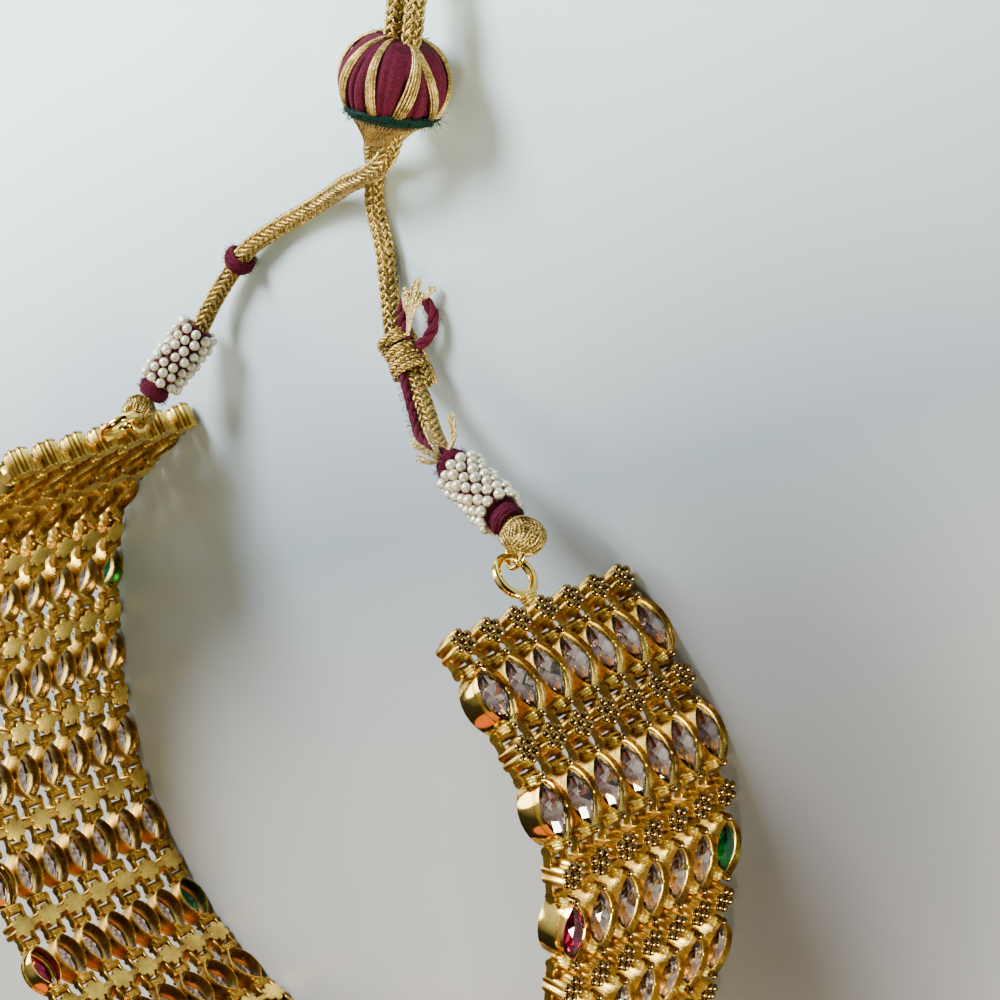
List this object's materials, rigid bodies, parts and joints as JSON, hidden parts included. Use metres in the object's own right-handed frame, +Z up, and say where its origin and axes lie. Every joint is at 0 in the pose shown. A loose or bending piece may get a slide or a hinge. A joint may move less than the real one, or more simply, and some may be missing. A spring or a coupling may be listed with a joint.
{
  "type": "kundan choker",
  "caption": "Wide gold-toned choker of hinged marquise stone settings and granulated rosettes, with end rings, pearl-wrapped braided cords and a sliding bead at the nape.",
  "frame": {"origin": "middle of the band's footprint, on the surface that its lower edge stands on", "axes": "+Z up, +Y towards the opening at the nape, +X towards the wearer's left side"},
  "size_m": [0.1164, 0.1731, 0.0313],
  "materials": {
    "gold_setting": "bright yellow gold plate, finely pricked on the necks, polished on the box walls",
    "gold_rosette": "gold plate, darker between the granules",
    "gold_wire": "polished gold plate",
    "champagne_stone": "clear faceted stone, faint champagne",
    "ruby_stone": "faceted stone, deep magenta red",
    "emerald_stone": "faceted stone, green",
    "gold_braid": "braided metallic gold thread",
    "maroon_silk": "maroon silk thread, wound",
    "seed_pearl": "imitation seed pearls, cream"
  },
  "bodies": {
    "root": {"marquise_bar_01": "gold_setting", "marquise_bar_02": "gold_setting", "marquise_bar_03": "gold_setting", "marquise_bar_04": "gold_setting", "marquise_bar_05": "gold_setting", "marquise_bar_06": "gold_setting", "marquise_bar_07": "gold_setting", "marquise_bar_08": "gold_setting", "marquise_bar_09": "gold_setting", "marquise_bar_10": "gold_setting", "marquise_bar_11": "gold_setting", "marquise_bar_12": "gold_setting", "marquise_bar_13": "gold_setting", "marquise_bar_14": "gold_setting", "marquise_bar_15": "gold_setting", "marquise_bar_16": "gold_setting", "marquise_bar_17": "gold_setting", "marquise_bar_18": "gold_setting", "marquise_bar_19": "gold_setting", "rosette_bar_01": "gold_rosette", "rosette_bar_02": "gold_rosette", "rosette_bar_03": "gold_rosette", "rosette_bar_04": "gold_rosette", "rosette_bar_05": "gold_rosette", "rosette_bar_06": "gold_rosette", "rosette_bar_07": "gold_rosette", "rosette_bar_08": "gold_rosette", "rosette_bar_09": "gold_rosette", "rosette_bar_10": "gold_rosette", "rosette_bar_11": "gold_rosette", "rosette_bar_12": "gold_rosette", "rosette_bar_13": "gold_rosette", "rosette_bar_14": "gold_rosette", "rosette_bar_15": "gold_rosette", "rosette_bar_16": "gold_rosette", "rosette_bar_17": "gold_rosette", "rosette_bar_18": "gold_rosette", "rosette_bar_19": "gold_rosette", "rosette_bar_20": "gold_rosette", "clear_stones": "champagne_stone", "ruby_stones": "ruby_stone", "emerald_stones": "emerald_stone", "jump_ring_right": "gold_wire", "jump_ring_left": "gold_wire", "thread_loop_right": "gold_braid", "thread_loop_left": "gold_braid", "lower_wrap_right": "maroon_silk", "lower_wrap_left": "maroon_silk", "pearl_sleeve_right": "seed_pearl", "pearl_sleeve_left": "seed_pearl", "upper_wrap_right": "maroon_silk", "upper_wrap_left": "maroon_silk", "thick_braid_left": "gold_braid", "gold_knot_right": "gold_braid", "cord_right": "gold_braid", "cord_left": "gold_braid", "slider_bead": "maroon_silk", "end_knot": "gold_braid"}
  },
  "joints": []
}
